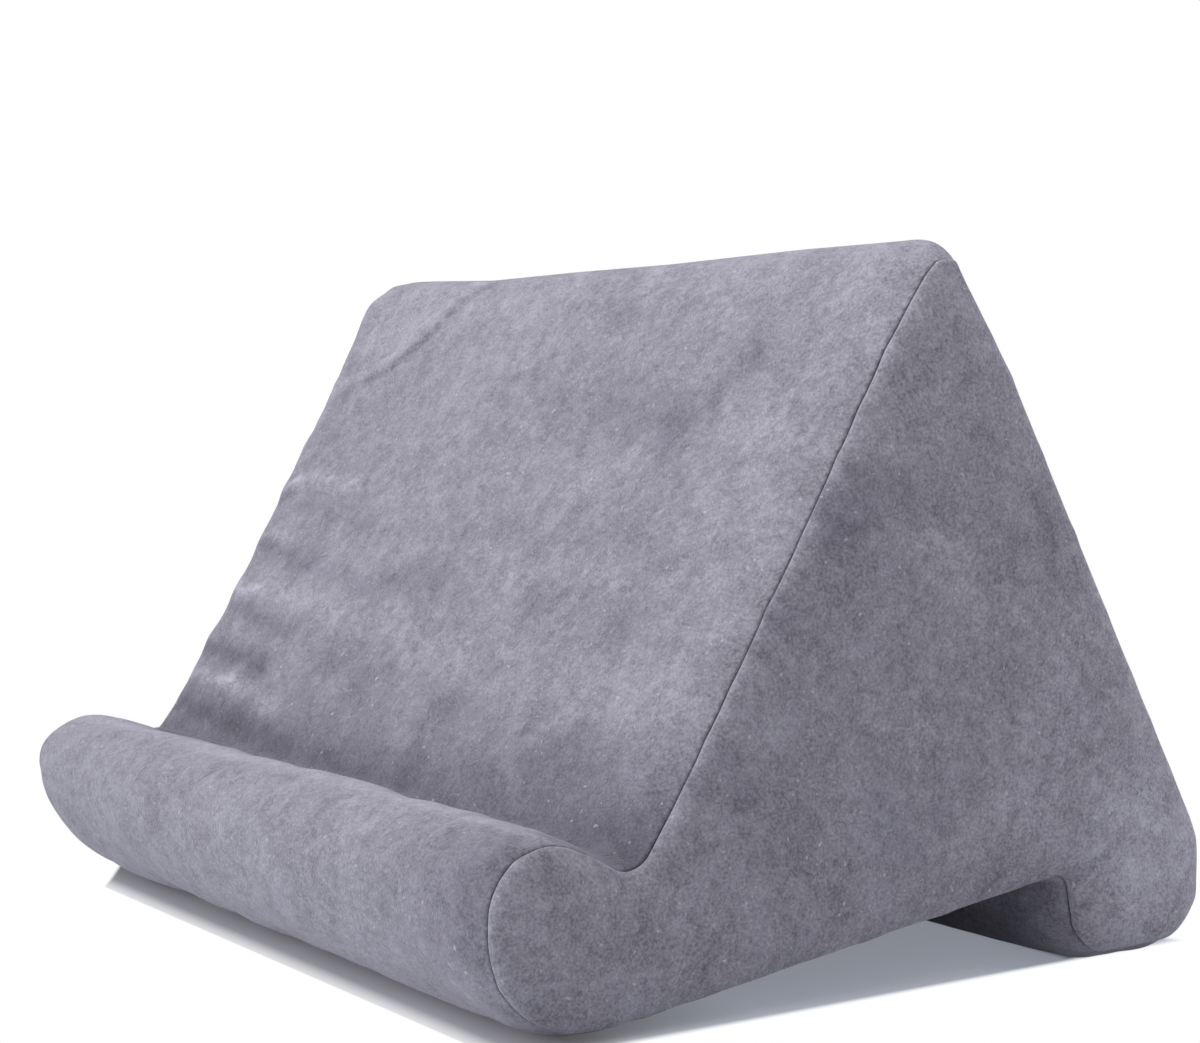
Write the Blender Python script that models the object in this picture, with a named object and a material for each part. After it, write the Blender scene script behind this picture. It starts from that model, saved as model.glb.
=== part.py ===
# Tablet cushion stand: one contour-cut foam block inside a sewn cover of three panels.
# A long strip wraps round the profile and its two ends meet in one closing seam.
# Two end panels close the strip, each sewn to it with its seam allowance turned inwards.
# The profile lies in the YZ plane, front at -Y, and is carried along X. Metres, +Z up.
# The origin is on the floor, at the middle of the width and of the depth.

import math

import bmesh
import bpy
from mathutils import Matrix, Vector

# Overall size
SEAM_WIDTH = 0.300  # between the two end seams
DEPTH = 0.220  # front of the lip to the back of the heel
HEIGHT = 0.189  # floor to the top of the ridge

# Tilt of each face from the floor, or from upright for the heel's inner wall, in degrees
SLOPE_TILT = 60.0
BACK_TILT = 62.0
LEDGE_TILT = 25.5
UNDERSIDE_TILT = 10.2
HEEL_WALL_LEAN = 8.0

# Lip and groove at the foot of the slope
LIP_HEIGHT = 0.0489
LIP_TOP_RADIUS = 0.0175
LIP_FOOT_RADIUS = 0.028
GROOVE_RADIUS = 0.005
RIDGE_RADIUS = 0.0085

# Toe and heel, which the stand rests on, and the arch between them
TOE_LENGTH = 0.0355
TOE_RADIUS = 0.062
ARCH_RADIUS = 0.002
HEEL_LENGTH = 0.047
HEEL_BACK_HEIGHT = 0.033
HEEL_INNER_RADIUS = 0.017
HEEL_OUTER_RADIUS = 0.020
HEEL_BACK_RADIUS = 0.0335

# Cover cloth and its seams
CLOTH = 0.0015  # thickness of the plush
SEAM_SINK = 0.003  # how far an end seam lies below the strip's face
SEAM_ALLOWANCE = 0.008
STRIP_SHOULDER = 0.012  # width over which the strip rounds down to its end seam
END_PUFF = 0.005  # how far an end panel swells out past its seam
END_SHOULDER = 0.010  # width over which it swells
CLOSING_ALLOWANCE = 0.010

GAP = 0.0003  # between pieces that touch
ARC_STEP = 11.25  # degrees of turn for each facet of a rounded corner
SHOULDER_STEPS = 4
SMALLEST_RADIUS = 0.0005
LARGEST_SHARE = 0.98  # of a side, that the fillets at its two ends may take up
SHARP_ANGLE = 40.0

PLUSH_GREY = (0.30, 0.295, 0.33, 1.0)
FOAM_CREAM = (0.83, 0.78, 0.62, 1.0)


def heading(degrees):
    return Vector((math.cos(math.radians(degrees)), math.sin(math.radians(degrees))))


def crossing(point_a, along_a, point_b, along_b):
    # Where two lines in the YZ plane meet.
    share = (point_b - point_a).cross(along_b) / along_a.cross(along_b)
    return point_a + along_a * share


def ridge_corner():
    # The sharp corner whose fillet of RIDGE_RADIUS tops out at HEIGHT, on the back face's line.
    down = (heading(180 + SLOPE_TILT) + heading(-BACK_TILT)).normalized()
    half_angle = math.radians(180 - SLOPE_TILT - BACK_TILT) / 2
    drop = -down.y * RIDGE_RADIUS / math.sin(half_angle)
    level = HEIGHT - RIDGE_RADIUS + drop
    heel_back = Vector((DEPTH, HEEL_BACK_HEIGHT))
    return crossing(heel_back, heading(180 - BACK_TILT), Vector((0, level)), heading(0))


def profile_corners():
    # The sharp corners round the profile with their fillet radii, seen from +X and turning left.
    # The depth is measured from the front of the lip here, and centred at the end.
    ledge = heading(180 - LEDGE_TILT)
    ledge_up = heading(90 - LEDGE_TILT)
    lip_centre = Vector((LIP_TOP_RADIUS, LIP_HEIGHT - LIP_TOP_RADIUS))
    on_ledge = lip_centre + ledge_up * LIP_TOP_RADIUS
    ridge = ridge_corner()
    toe = Vector((TOE_LENGTH, 0))
    heel_inner = Vector((DEPTH - HEEL_LENGTH, 0))
    arch = crossing(toe, heading(UNDERSIDE_TILT), heel_inner, heading(90 + HEEL_WALL_LEAN))
    groove = crossing(ridge, heading(SLOPE_TILT), on_ledge, ledge)
    lip_top = crossing(on_ledge, ledge, Vector((0, 0)), heading(90))
    corners = [
        (Vector((0, 0)), LIP_FOOT_RADIUS),
        (toe, TOE_RADIUS),
        (arch, ARCH_RADIUS),
        (heel_inner, HEEL_INNER_RADIUS),
        (Vector((DEPTH, 0)), HEEL_OUTER_RADIUS),
        (Vector((DEPTH, HEEL_BACK_HEIGHT)), HEEL_BACK_RADIUS),
        (ridge, RIDGE_RADIUS),
        (groove, GROOVE_RADIUS),
        (lip_top, LIP_TOP_RADIUS),
    ]
    return [(corner - Vector((DEPTH / 2, 0)), radius) for corner, radius in corners]


def turn_at(points, i):
    # How far the outline turns at corner i: positive to the left, where the corner is convex.
    before = points[i] - points[i - 1]
    after = points[(i + 1) % len(points)] - points[i]
    return math.atan2(before.cross(after), before.dot(after))


def fitted_radii(corners):
    # Each fillet is limited by its sides: the two fillets on a side fit between its corners.
    points = [corner for corner, _ in corners]
    turns = [abs(turn_at(points, i)) for i in range(len(points))]
    tangents = [radius * math.tan(turn / 2) for (_, radius), turn in zip(corners, turns)]
    shares = []
    for i, corner in enumerate(points):
        side = (points[(i + 1) % len(points)] - corner).length
        needed = tangents[i] + tangents[(i + 1) % len(points)]
        shares.append(min(1.0, LARGEST_SHARE * side / needed))
    return [radius * min(shares[i - 1], shares[i]) for i, (_, radius) in enumerate(corners)]


def outline(inset):
    # The profile moved inwards by inset, with the same number of points whatever the inset.
    corners = profile_corners()
    sharp = [corner for corner, _ in corners]
    count = len(sharp)
    radii = fitted_radii(corners)
    sides = [(sharp[(i + 1) % count] - sharp[i]).normalized() for i in range(count)]
    inwards = [Vector((-side.y, side.x)) for side in sides]
    points = []
    for i in range(count):
        turn = turn_at(sharp, i)
        side_in, side_out = sides[i - 1], sides[i]
        before = sharp[i] + inwards[i - 1] * inset
        after = sharp[i] + inwards[i] * inset
        corner = crossing(before, side_in, after, side_out)
        radius = max(SMALLEST_RADIUS, radii[i] - math.copysign(inset, turn))
        start = corner - side_in * radius * math.tan(abs(turn) / 2)
        centre = start + inwards[i - 1] * math.copysign(radius, turn)
        steps = max(2, math.ceil(math.degrees(abs(turn)) / ARC_STEP))
        for step in range(steps + 1):
            points.append(centre + Matrix.Rotation(turn * step / steps, 2) @ (start - centre))
    return points


def ring(bm, across, inset):
    # One closed loop of vertices round the profile, at a place across the width.
    return [bm.verts.new((across, point.x, point.y)) for point in outline(inset)]


def skin(bm, loop_a, loop_b):
    # The band of faces between two loops.
    count = len(loop_a)
    for i in range(count):
        j = (i + 1) % count
        bm.faces.new((loop_a[i], loop_a[j], loop_b[j], loop_b[i]))


def sweep(bm, section, closed):
    # Carries a section, given as (across, inset) points, round the whole profile.
    loops = [ring(bm, across, inset) for across, inset in section]
    for loop_a, loop_b in zip(loops, loops[1:]):
        skin(bm, loop_a, loop_b)
    if closed:
        skin(bm, loops[-1], loops[0])
    else:
        bm.faces.new(loops[0])
        bm.faces.new(loops[-1])
    bmesh.ops.recalc_face_normals(bm, faces=bm.faces)


def material(name, colour, roughness):
    made = bpy.data.materials.new(name)
    made.use_nodes = True
    shader = made.node_tree.nodes["Principled BSDF"]
    shader.inputs["Base Color"].default_value = colour
    shader.inputs["Roughness"].default_value = roughness
    shader.inputs["Metallic"].default_value = 0.0
    return made


def add_object(name, bm, finish=None):
    mesh = bpy.data.meshes.new(name)
    bm.to_mesh(mesh)
    bm.free()
    made = bpy.data.objects.new(name, mesh)
    bpy.context.scene.collection.objects.link(made)
    if finish:
        mesh.materials.append(finish)
        mesh.shade_smooth()
        mesh.set_sharp_from_angle(angle=math.radians(SHARP_ANGLE))
    return made


def quarter(step):
    # Sine and rise of a quarter round at one of its steps.
    angle = math.pi / 2 * step / SHOULDER_STEPS
    return math.sin(angle), 1 - math.cos(angle)


def strip_edge(side, reach, inset):
    # The shoulder where the strip rounds down towards an end seam, from its flat to the seam.
    # reach is how far the surface stops short of the seam plane.
    seam = SEAM_WIDTH / 2
    points = []
    for step in range(SHOULDER_STEPS + 1):
        along, rise = quarter(step)
        across = seam - STRIP_SHOULDER + (STRIP_SHOULDER - reach) * along
        points.append((side * across, inset + SEAM_SINK * rise))
    return points


def end_face(side, lift, depth_in):
    # The shoulder of an end panel, from its seam to its flat face.
    # lift is how far the surface starts outside the seam plane, depth_in how far under the fold.
    seam = SEAM_WIDTH / 2
    swell = END_PUFF - lift - depth_in
    points = []
    for step in range(SHOULDER_STEPS + 1):
        along, rise = quarter(step)
        inset = SEAM_SINK + depth_in + (END_SHOULDER - depth_in) * rise
        points.append((side * (seam + lift + swell * along), inset))
    return points


def cover_strip(finish):
    # The long strip: flat over the profile, rounded at both edges, its allowances turned in.
    turned_in = SEAM_SINK + SEAM_ALLOWANCE
    seam = SEAM_WIDTH / 2
    section = strip_edge(1, 0.0, 0.0)
    section.append((seam, turned_in))
    section.append((seam - CLOTH, turned_in))
    section += reversed(strip_edge(1, CLOTH, CLOTH))
    section += strip_edge(-1, CLOTH, CLOTH)
    section.append((CLOTH - seam, turned_in))
    section.append((-seam, turned_in))
    section += reversed(strip_edge(-1, 0.0, 0.0))
    bm = bmesh.new()
    sweep(bm, section, closed=True)
    strip = add_object("cover_strip", bm, finish)
    join_closing_seam(strip)
    return strip


def end_panel(name, side, finish):
    # An end panel: its rim folds back under it to lie against the strip's turned-in edge.
    turned_in = SEAM_SINK + SEAM_ALLOWANCE
    seam = SEAM_WIDTH / 2
    section = list(reversed(end_face(side, GAP, 0.0)))
    section.append((side * (seam + GAP), turned_in))
    section.append((side * (seam + GAP + CLOTH), turned_in))
    section += end_face(side, GAP + CLOTH, CLOTH)
    bm = bmesh.new()
    sweep(bm, section, closed=False)
    return add_object(name, bm, finish)


def foam_core(finish):
    # The foam block: it fills the cover, rebated round each end where the allowances lie.
    seam = SEAM_WIDTH / 2
    under_cloth = CLOTH + GAP
    rebate = SEAM_SINK + END_SHOULDER
    section = []
    for side in (1, -1):
        edge = strip_edge(side, under_cloth, under_cloth)
        edge.append((side * (seam - under_cloth), rebate))
        edge.append((side * (seam + END_PUFF - under_cloth), rebate))
        section += edge if side < 0 else reversed(edge)
    bm = bmesh.new()
    sweep(bm, section, closed=False)
    core = add_object("foam_core", bm, finish)
    front, back = closing_layers()
    top = CLOSING_ALLOWANCE + CLOTH + GAP
    room = add_slab("closing_seam_room", front - under_cloth - GAP, back + under_cloth, -CLOTH, top, seam)
    combine(core, room, "DIFFERENCE")
    return core


def arch_corner():
    # The inner corner of the arch, where the underside meets the heel's inner wall.
    return profile_corners()[2][0]


def closing_layers():
    # How far each face of the closing seam's two turned-in layers lies from the heel wall's face.
    return -GAP, 0.0


def add_slab(name, near, far, low, high, half_width):
    # A flat bar along the closing seam, in the heel wall's own directions from the arch corner:
    # near and far are measured through the wall towards the heel, low and high up along it.
    up = heading(90 + HEEL_WALL_LEAN)
    through = heading(HEEL_WALL_LEAN)
    corner = arch_corner()
    bm = bmesh.new()
    bmesh.ops.create_cube(bm, size=1.0)
    centre = corner + through * (near + far) / 2 + up * (low + high) / 2
    size = Matrix.Diagonal((2 * half_width, far - near, high - low, 1.0))
    lean = Matrix.Rotation(math.radians(HEEL_WALL_LEAN), 4, "X")
    place = Matrix.Translation((0.0, centre.x, centre.y))
    bmesh.ops.transform(bm, matrix=place @ lean @ size, verts=bm.verts)
    return add_object(name, bm)


def combine(target, tool, operation):
    tool.hide_render = True
    tool.display_type = "WIRE"
    cut = target.modifiers.new(tool.name, "BOOLEAN")
    cut.operation = operation
    cut.object = tool


def join_closing_seam(strip):
    # The strip's two ends meet at the top of the heel's inner wall, and both turn up into the foam.
    clear_of_ends = SEAM_WIDTH / 2 - 2 * CLOTH
    front, back = closing_layers()
    top = CLOSING_ALLOWANCE
    layers = add_slab("closing_allowances", front - CLOTH, back + CLOTH, -CLOTH, top, clear_of_ends)
    combine(strip, layers, "UNION")
    parting = add_slab("closing_parting", front, back, -HEEL_LENGTH, top + CLOTH, SEAM_WIDTH)
    combine(strip, parting, "DIFFERENCE")


def clear_scene():
    for found in list(bpy.data.objects):
        bpy.data.objects.remove(found, do_unlink=True)


def main():
    clear_scene()
    foam_core(material("foam", FOAM_CREAM, 0.95))
    cover_strip(material("plush_strip", PLUSH_GREY, 0.9))
    end_panel("cover_end_left", -1, material("plush_end_left", PLUSH_GREY, 0.9))
    end_panel("cover_end_right", 1, material("plush_end_right", PLUSH_GREY, 0.9))


main()
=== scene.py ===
import bpy
import numpy as np
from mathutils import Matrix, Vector, geometry


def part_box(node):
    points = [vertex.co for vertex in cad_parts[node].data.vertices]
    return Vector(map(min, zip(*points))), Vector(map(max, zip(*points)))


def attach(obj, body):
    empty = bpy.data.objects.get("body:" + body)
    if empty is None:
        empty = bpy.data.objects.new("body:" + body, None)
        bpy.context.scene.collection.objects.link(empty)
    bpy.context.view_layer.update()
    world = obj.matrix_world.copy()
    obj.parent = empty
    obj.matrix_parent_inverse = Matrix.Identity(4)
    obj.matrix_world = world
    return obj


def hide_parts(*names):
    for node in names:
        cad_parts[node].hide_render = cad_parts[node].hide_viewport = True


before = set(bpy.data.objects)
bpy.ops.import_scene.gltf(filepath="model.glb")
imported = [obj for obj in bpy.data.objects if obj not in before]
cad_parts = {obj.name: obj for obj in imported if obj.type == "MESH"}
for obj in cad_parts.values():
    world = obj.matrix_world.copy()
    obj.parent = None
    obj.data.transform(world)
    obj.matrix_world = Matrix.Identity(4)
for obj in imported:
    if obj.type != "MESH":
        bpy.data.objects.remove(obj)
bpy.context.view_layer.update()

stripLow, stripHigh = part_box("cover_strip")
seamX = (stripHigh.x - stripLow.x) / 2      # the two end seams lie at plus and minus this

# profile of the stand, as y + iz, seen from +X and turning left

profile = {
    "slopeTilt": 60.0, "backTilt": 62.0, "ledgeTilt": 25.5, "undersideTilt": 10.2, "heelWallLean": 8.0,
    "lipHeight": 0.0489, "lipTopRadius": 0.0175, "lipFootRadius": 0.028, "grooveRadius": 0.005,
    "ridgeRadius": 0.0085, "toeLength": 0.0355, "toeRadius": 0.062, "archRadius": 0.002,
    "heelLength": 0.047, "heelBackHeight": 0.033, "heelInnerRadius": 0.017, "heelOuterRadius": 0.020,
    "heelBackRadius": 0.0335,
    "arcPoints": 49,        # along each rounded corner before resampling
    "aroundCount": 560,     # points round the profile, even
    "cornerPull": 0.011,    # metres of extra weight for each radian of turn
}


def heading(degrees):
    return np.exp(1j * np.radians(degrees))


def cross(a, b):
    return (np.conj(a) * b).imag


def crossing(a, alongA, b, alongB):
    # a + alongA * s, with s = cross(b - a, alongB) / cross(alongA, alongB)
    return a + alongA * cross(b - a, alongB) / cross(alongA, alongB)


def sharpCorners(p, depth, height):
    # the corner points before rounding, and the radius of each
    half = np.radians(180 - p["slopeTilt"] - p["backTilt"]) / 2
    down = heading(180 + p["slopeTilt"]) + heading(-p["backTilt"])
    top = height - p["ridgeRadius"] - (down / abs(down)).imag * p["ridgeRadius"] / np.sin(half)
    heelBack = depth + 1j * p["heelBackHeight"]
    ridge = crossing(heelBack, heading(180 - p["backTilt"]), 1j * top, 1)
    lipCentre = p["lipTopRadius"] + 1j * (p["lipHeight"] - p["lipTopRadius"])
    onLedge = lipCentre + p["lipTopRadius"] * heading(90 - p["ledgeTilt"])
    ledge = heading(180 - p["ledgeTilt"])
    heelInner = depth - p["heelLength"]
    arch = crossing(p["toeLength"], heading(p["undersideTilt"]), heelInner, heading(90 + p["heelWallLean"]))
    groove = crossing(ridge, heading(p["slopeTilt"]), onLedge, ledge)
    lipTop = crossing(onLedge, ledge, 0, 1j)
    points = np.array([0, p["toeLength"], arch, heelInner, depth, heelBack, ridge, groove, lipTop], complex)
    radii = np.array([p[name] for name in ("lipFootRadius", "toeRadius", "archRadius", "heelInnerRadius",
                                           "heelOuterRadius", "heelBackRadius", "ridgeRadius",
                                           "grooveRadius", "lipTopRadius")])
    return points - depth / 2, radii


class Outline:
    # The rounded profile. Each corner is cut back by radius * tan(|turn| / 2) and bridged by
    # centre + (start - centre) * exp(i * turn * t), t from 0 to 1.
    def __init__(self, points, radii, arcPoints):
        sides = np.roll(points, -1) - points
        sides /= abs(sides)
        before = np.roll(sides, 1)
        turn = np.angle(sides / before)
        start = points - before * radii * np.tan(abs(turn) / 2)
        centre = start + 1j * before * np.copysign(radii, turn)
        t = np.linspace(0, 1, arcPoints)
        nodes = (centre[:, None] + (start - centre)[:, None] * np.exp(1j * turn[:, None] * t)).ravel()
        first = np.angle(before[0]) + np.append(0, np.cumsum(turn)[:-1])
        headings = (first[:, None] + turn[:, None] * t).ravel()
        self.nodes = np.append(nodes, nodes[0])
        self.headings = np.append(headings, headings[0] + 2 * np.pi)
        self.lengths = np.append(0, np.cumsum(abs(np.diff(self.nodes))))
        self.total = self.lengths[-1]
        self.middles = self.lengths[:-1].reshape(len(points), arcPoints)[:, arcPoints // 2]

    def spread(self, count, cornerPull):
        # arc lengths at equal steps of length + cornerPull * |turning|
        weight = self.lengths + cornerPull * np.append(0, np.cumsum(abs(np.diff(self.headings))))
        return np.interp(np.arange(count) / count * weight[-1], weight, self.lengths)

    def at(self, along):
        # point and outward normal -i * exp(i * heading) at each arc length
        along = np.mod(along, self.total)
        facing = np.interp(along, self.lengths, self.headings)
        return np.interp(along, self.lengths, self.nodes), -1j * np.exp(1j * facing)


corners, cornerRadii = sharpCorners(profile, stripHigh.y - stripLow.y, stripHigh.z)
outline = Outline(corners, cornerRadii, profile["arcPoints"])
ridge, groove = corners[6:8]
(lipFootAt, toeAt, archAt, heelInnerAt, heelOuterAt, heelBackAt,
 ridgeAt, grooveAt, lipTopAt) = outline.middles
around = outline.spread(profile["aroundCount"], profile["cornerPull"])
print("profile:", len(around), "points round", round(outline.total, 4), "m")


def smooth(t):
    # 3 t^2 - 2 t^3, held at 0 and 1
    t = np.clip(t, 0, 1)
    return t * t * (3 - 2 * t)


def awayFrom(along, place):
    # signed arc length from a place on the profile, the short way round
    return np.mod(along - place + outline.total / 2, outline.total) - outline.total / 2


# how the cover differs from the plain prism: sags, puckers and folds, all in metres along the normal

cover = {
    # how far the ridge hangs below a straight line, at places across the width
    "ridgeAcross": [-0.152, -0.148, -0.144, -0.139, -0.133, -0.120,
                    -0.080, -0.030, 0.025, 0.090, 0.135, 0.150],
    "ridgeSag": [0.0072, 0.0052, 0.0037, 0.0027, 0.0023, 0.0024, 0.0034, 0.0025, 0.0020, 0.0004, 0.0, 0.0],
    "ridgeReach": 0.020,
    "sagWindow": 0.003,
    "restHeight": 0.014,    # below which nothing hangs
    # how far the lip hangs
    "lipAcross": [-0.150, -0.138, -0.100, 0.020, 0.100, 0.150],
    "lipSag": [0.0030, 0.0028, 0.0023, 0.0010, 0.0003, 0.0002],
    "lipReach": 0.026,
    # how far the lip's lower front is drawn in towards its left end
    "footAcross": [-0.150, -0.143, -0.136, -0.128, -0.118, -0.100],
    "footIn": [0.0075, 0.0048, 0.0028, 0.0013, 0.0004, 0.0],
    "footReach": 0.023,
    # puckers at the left seam of the slope: height up the slope at the seam, rise over the reach,
    # reach, height, width above, width below
    "slopePuckers": [
        (0.0885, 0.0060, 0.054, 0.0014, 0.0060, 0.0026),
        (0.0720, 0.0010, 0.066, 0.0012, 0.0060, 0.0045),
        (0.0522, -0.0016, 0.074, 0.0015, 0.0050, 0.0036),
        (0.0350, 0.0010, 0.026, 0.0007, 0.0040, 0.0030),
        (0.0222, -0.0040, 0.070, 0.0017, 0.0050, 0.0055),
        (0.1060, 0.0030, 0.030, 0.0007, 0.0055, 0.0036),
        (0.1290, 0.0040, 0.030, 0.0008, 0.0050, 0.0024),
    ],
    # the diagonal fold at the top left of the slope: its line across and up the slope
    "foldAcross": [-0.150, -0.142, -0.1085, -0.0985, -0.0896, -0.0874, -0.0818, -0.0760],
    "foldUp": [0.1255, 0.1285, 0.1345, 0.1416, 0.1480, 0.1525, 0.1635, 0.1735],
    "foldHeight": [0.0002, 0.0003, 0.0009, 0.0011, 0.0010, 0.0009, 0.0007, 0.0],
    "foldAbove": 0.0140,
    "foldBelow": [0.0030, 0.0024, 0.0017, 0.0014, 0.0013, 0.0013, 0.0013, 0.0013],
    "foldWindow": 0.004,
    # how far the slope stands out at its left seam, by height up the slope, and how far that
    # reaches across where it stands out and where it is drawn in
    "edgeUp": [0.0, 0.012, 0.030, 0.060, 0.085, 0.100, 0.120,
               0.135, 0.147, 0.152, 0.156, 0.160, 0.164, 0.169],
    "edgeOut": [-0.0012, -0.0020, -0.0020, -0.0024, -0.0017, -0.0011, -0.0012,
                -0.0009, 0.0006, 0.0014, 0.0028, 0.0040, 0.0040, 0.0015],
    "edgeReach": (0.016, 0.030),
    "edgeWindow": 0.002,
    # how far the heel's foot is drawn up towards its right end
    "heelAcross": [0.110, 0.125, 0.140, 0.155],
    "heelIn": [0.0, 0.0004, 0.0012, 0.0018],
    "heelReach": 0.016,
    # small stretch marks all along both end seams
    "stretchSpacing": (0.011, 0.024),
    "stretchHeight": (0.00010, 0.00034),
    "stretchReach": (0.012, 0.032),
    "stretchWidth": (0.0024, 0.0045),
    "seed": 11,
}


def readTable(at, places, values, window, **wrap):
    # values at places, interpolated and averaged over the window either side
    steps = np.linspace(-window, window, 13)
    return np.interp(np.asarray(at)[..., None] + steps, places, values, **wrap).mean(-1)


def coverTable(at, places, values, window="sagWindow"):
    return readTable(at, cover[places], cover[values], cover[window])


def hang(along, across, height):
    # ridge and lip, straight down: sag(across) * exp(-(distance from the ridge or lip / reach)^2),
    # and nothing on the floor
    ridgeDrop = coverTable(across, "ridgeAcross", "ridgeSag")
    lipDrop = coverTable(across, "lipAcross", "lipSag")
    atRidge = np.exp(-(awayFrom(along, ridgeAt) / cover["ridgeReach"]) ** 2)
    atLip = np.exp(-(awayFrom(along, lipTopAt) / cover["lipReach"]) ** 2)
    return smooth(height / cover["restHeight"]) * (ridgeDrop * atRidge + lipDrop * atLip)


def bend(along, across, inset):
    # profile(along) - inset * normal - i * hang, for rows along and columns across
    place, normal = outline.at(along)
    flat = place[:, None] - inset * normal[:, None]
    return flat - 1j * hang(along[:, None], across, place.imag[:, None])


def upSlope(along):
    # height up the slope from the groove's corner, and 1 on the slope, 0 where the profile has turned
    # away from it
    place, normal = outline.at(along)
    up = ((place - groove) / heading(profile["slopeTilt"])).real
    facing = (normal * np.conj(1j * heading(profile["slopeTilt"]))).real
    return up, smooth((facing - 0.80) / 0.18) * (awayFrom(along, grooveAt) < 0)


def bump(offset, above, below):
    # exp(-(offset / width)^2), with one width above and another below
    return np.exp(-(offset / np.where(offset > 0, above, below)) ** 2)


def puckers(along, across):
    # Sum of height * fade * bump(up - start - rise * share), where share is how far in of the reach.
    # The fade rises from 0.12 at the seam to 1 over a quarter of the reach and falls to 0 at its end.
    up, onSlope = upSlope(along)
    reachIn = across + seamX
    lift = 0.0
    for start, rise, reach, height, above, below in cover["slopePuckers"]:
        share = reachIn / reach
        fade = (0.12 + 0.88 * smooth(share / 0.24)) * smooth(1.15 - share)
        wider = 1 + share
        lift = lift + height * fade * bump(up - start - rise * share, above * wider, below * wider)
    return lift * onSlope


def diagonalFold(along, across):
    # height * bump(up - line), both read across the slope
    up, onSlope = upSlope(along)
    line, tall, below = [coverTable(across, "foldAcross", key, "foldWindow")
                         for key in ("foldUp", "foldHeight", "foldBelow")]
    return tall * bump(up - line, cover["foldAbove"], below) * onSlope


def slopeFolds(along, across):
    return puckers(along, across) + diagonalFold(along, across)


def slopeEdge(along, across):
    # out, read up the slope, * exp(-((across + half width) / reach)^2)
    up, onSlope = upSlope(along)
    out = coverTable(up, "edgeUp", "edgeOut", "edgeWindow")
    reach = np.where(out > 0, *cover["edgeReach"])
    return out * np.exp(-((across + seamX) / reach) ** 2) * onSlope


def footIn(along, across):
    # drawn in * exp(-(distance from the lip's foot or the heel's / reach)^2)
    drawn = coverTable(across, "footAcross", "footIn")
    heel = coverTable(across, "heelAcross", "heelIn")
    heelFoot = (heelInnerAt + heelOuterAt) / 2
    return (drawn * np.exp(-(awayFrom(along, lipFootAt) / cover["footReach"]) ** 2)
            + heel * np.exp(-(awayFrom(along, heelFoot) / cover["heelReach"]) ** 2))


def stretchMarks(seed):
    # seeded rows of (place, height, reach, width, skew) along one end seam
    rng = np.random.default_rng(seed)
    places = np.cumsum(rng.uniform(*cover["stretchSpacing"], 60))
    places = places[places < outline.total - cover["stretchSpacing"][0]]
    draws = [rng.uniform(*cover[key], len(places))
             for key in ("stretchHeight", "stretchReach", "stretchWidth")]
    return [places, *draws, rng.uniform(-0.3, 0.3, len(places))]


marks = {side: stretchMarks(cover["seed"] + side) for side in (-1, 1)}


def seamStretch(along, across):
    # sum over marks of height * exp(-((offset - skew * reachIn) / width)^2) * (1 - reachIn / reach)^2
    lift = 0.0
    for side in (-1, 1):
        reachIn = np.maximum(seamX - side * across, 0)
        for place, height, reach, width, skew in zip(*marks[side]):
            offset = awayFrom(along, place) - skew * reachIn
            lift = lift + height * np.exp(-(offset / width) ** 2) * np.clip(1 - reachIn / reach, 0, 1) ** 2
    return lift


def coverLift(along, across, folds=True):
    # how far the cover stands out along its normal: the left edge less the drawn-in feet, and unless
    # it is the inner layer the filling, folds and stretch marks too
    along, across = np.broadcast_arrays(along, across)
    lift = slopeEdge(along, across) - footIn(along, across)
    if folds:
        lift = lift + pressed(along, across) + slopeFolds(along, across) + seamStretch(along, across)
    return lift


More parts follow.
